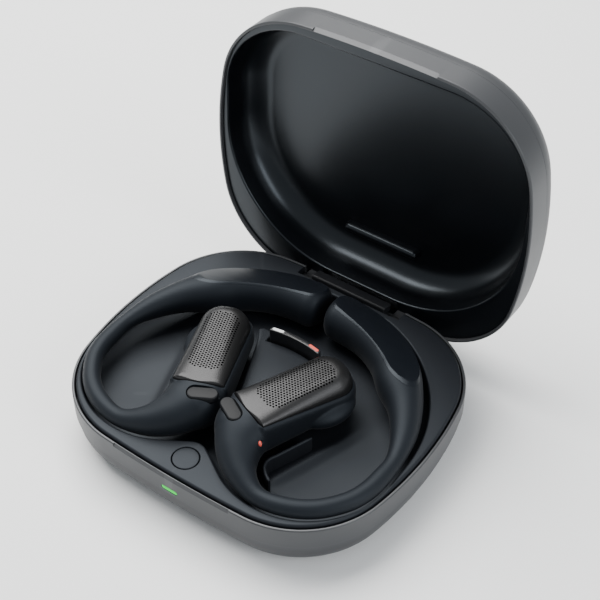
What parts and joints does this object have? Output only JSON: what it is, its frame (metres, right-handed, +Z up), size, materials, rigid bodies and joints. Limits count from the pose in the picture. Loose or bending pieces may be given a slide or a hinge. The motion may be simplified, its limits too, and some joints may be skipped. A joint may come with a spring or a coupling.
{
  "type": "open-ear hook earphones in a charging case",
  "caption": "Left and right ear-hook earphones with perforated speaker heads, lying in an open hinged charging case.",
  "frame": {"origin": "centre of the flat face that the case rests on", "axes": "+Z up, -Y towards the case's front with the status light, +X to the right; the hinge runs along X at +Y"},
  "size_m": [0.082, 0.0861, 0.0775],
  "materials": {
    "case_grey": "fine satin metallic paint",
    "band_grey": "satin bead-blasted",
    "deck_black": "fine spark-eroded matte",
    "strip_black": "matte with polished edge",
    "mark_white": "satin white inlay",
    "mark_red": "satin red inlay",
    "mark_dark": "dark port",
    "button_black": "fine matte",
    "part_dark": "matte black",
    "light_green": "lit translucent green",
    "board_green": "solder mask",
    "cell_silver": "foil",
    "steel": "plain steel",
    "gold": "gold plated",
    "hinge_metal": "black coated zinc",
    "hinge_black": "satin black",
    "liner_black": "smooth satin black",
    "rib_black": "soft black",
    "shell_dark": "soft-touch dark slate",
    "plate_gunmetal": "brushed gunmetal",
    "mesh_black": "acoustic mesh",
    "silicone_dark": "soft-touch silicone",
    "key_dark": "satin, slightly smoother than the sleeve",
    "spring_metal": "spring wire",
    "cap_dark": "smooth satin"
  },
  "bodies": {
    "base": {"base_pan": "case_grey", "base_band": "band_grey", "tray": "deck_black", "side_strip": "strip_black", "strip_mark_white": "mark_white", "strip_mark_red": "mark_red", "button_switch": "part_dark", "led_light_pipe": "light_green", "case_board": "board_green", "case_battery": "cell_silver", "usb_c_shell": "steel", "usb_c_tongue": "part_dark", "tray_magnets": "steel", "base_latch_magnets": "steel", "hinge_knuckle": "hinge_metal", "hinge_pin": "steel", "hinge_cover": "hinge_black", "base_screws": "steel"},
    "lid": {"lid_band": "band_grey", "lid_cover": "case_grey", "lid_liner": "liner_black", "lid_rib": "rib_black", "lid_latch_magnets": "steel", "lid_hinge_arms": "hinge_metal"},
    "case_button": {"case_button": "button_black"},
    "left_pins": {"left_charge_pins": "gold"},
    "right_pins": {"right_charge_pins": "gold"},
    "left_earphone": {"left_head_shell": "shell_dark", "left_grille_plate": "plate_gunmetal", "left_acoustic_mesh": "mesh_black", "left_speaker_driver": "part_dark", "left_head_board": "board_green", "left_microphone": "steel", "left_charge_contacts": "gold", "left_side_mark": "mark_dark", "left_neck_sleeve": "silicone_dark", "left_key_switch": "part_dark", "left_hook_sleeve": "silicone_dark", "left_hook_wire": "spring_metal", "left_pod_shell": "silicone_dark", "left_pod_cap": "cap_dark", "left_battery_cell": "cell_silver"},
    "left_key": {"left_function_key": "key_dark"},
    "right_earphone": {"right_head_shell": "shell_dark", "right_grille_plate": "plate_gunmetal", "right_acoustic_mesh": "mesh_black", "right_speaker_driver": "part_dark", "right_head_board": "board_green", "right_microphone": "steel", "right_charge_contacts": "gold", "right_side_mark": "mark_red", "right_neck_sleeve": "silicone_dark", "right_key_switch": "part_dark", "right_hook_sleeve": "silicone_dark", "right_hook_wire": "spring_metal", "right_pod_shell": "silicone_dark", "right_pod_cap": "cap_dark", "right_battery_cell": "cell_silver"},
    "right_key": {"right_function_key": "key_dark"}
  },
  "joints": [
    {"name": "lid_hinge", "type": "hinge", "parent": "base", "child": "lid", "pos_m": [0, 0.0322, 0.01049], "axis": [1, 0, 0], "range_deg": [0, 92.3]},
    {"name": "case_button_press", "type": "slide", "parent": "base", "child": "case_button", "axis": [0, 0, 1], "range_m": [-0.0004, 0], "stiffness_N_per_m": 400},
    {"name": "left_earphone_lift", "type": "slide", "parent": "base", "child": "left_earphone", "axis": [0, 0, 1], "range_m": [0, 0.0012]},
    {"name": "left_key_press", "type": "slide", "parent": "left_earphone", "child": "left_key", "axis": [0, 0, 1], "range_m": [-0.00025, 0], "stiffness_N_per_m": 300},
    {"name": "left_pins_press", "type": "slide", "parent": "base", "child": "left_pins", "axis": [0, 0, 1], "range_m": [-0.0004, 0], "stiffness_N_per_m": 300},
    {"name": "right_earphone_lift", "type": "slide", "parent": "base", "child": "right_earphone", "axis": [0, 0, 1], "range_m": [0, 0.0012]},
    {"name": "right_key_press", "type": "slide", "parent": "right_earphone", "child": "right_key", "axis": [0, 0, 1], "range_m": [-0.00025, 0], "stiffness_N_per_m": 300},
    {"name": "right_pins_press", "type": "slide", "parent": "base", "child": "right_pins", "axis": [0, 0, 1], "range_m": [-0.0004, 0], "stiffness_N_per_m": 300}
  ]
}
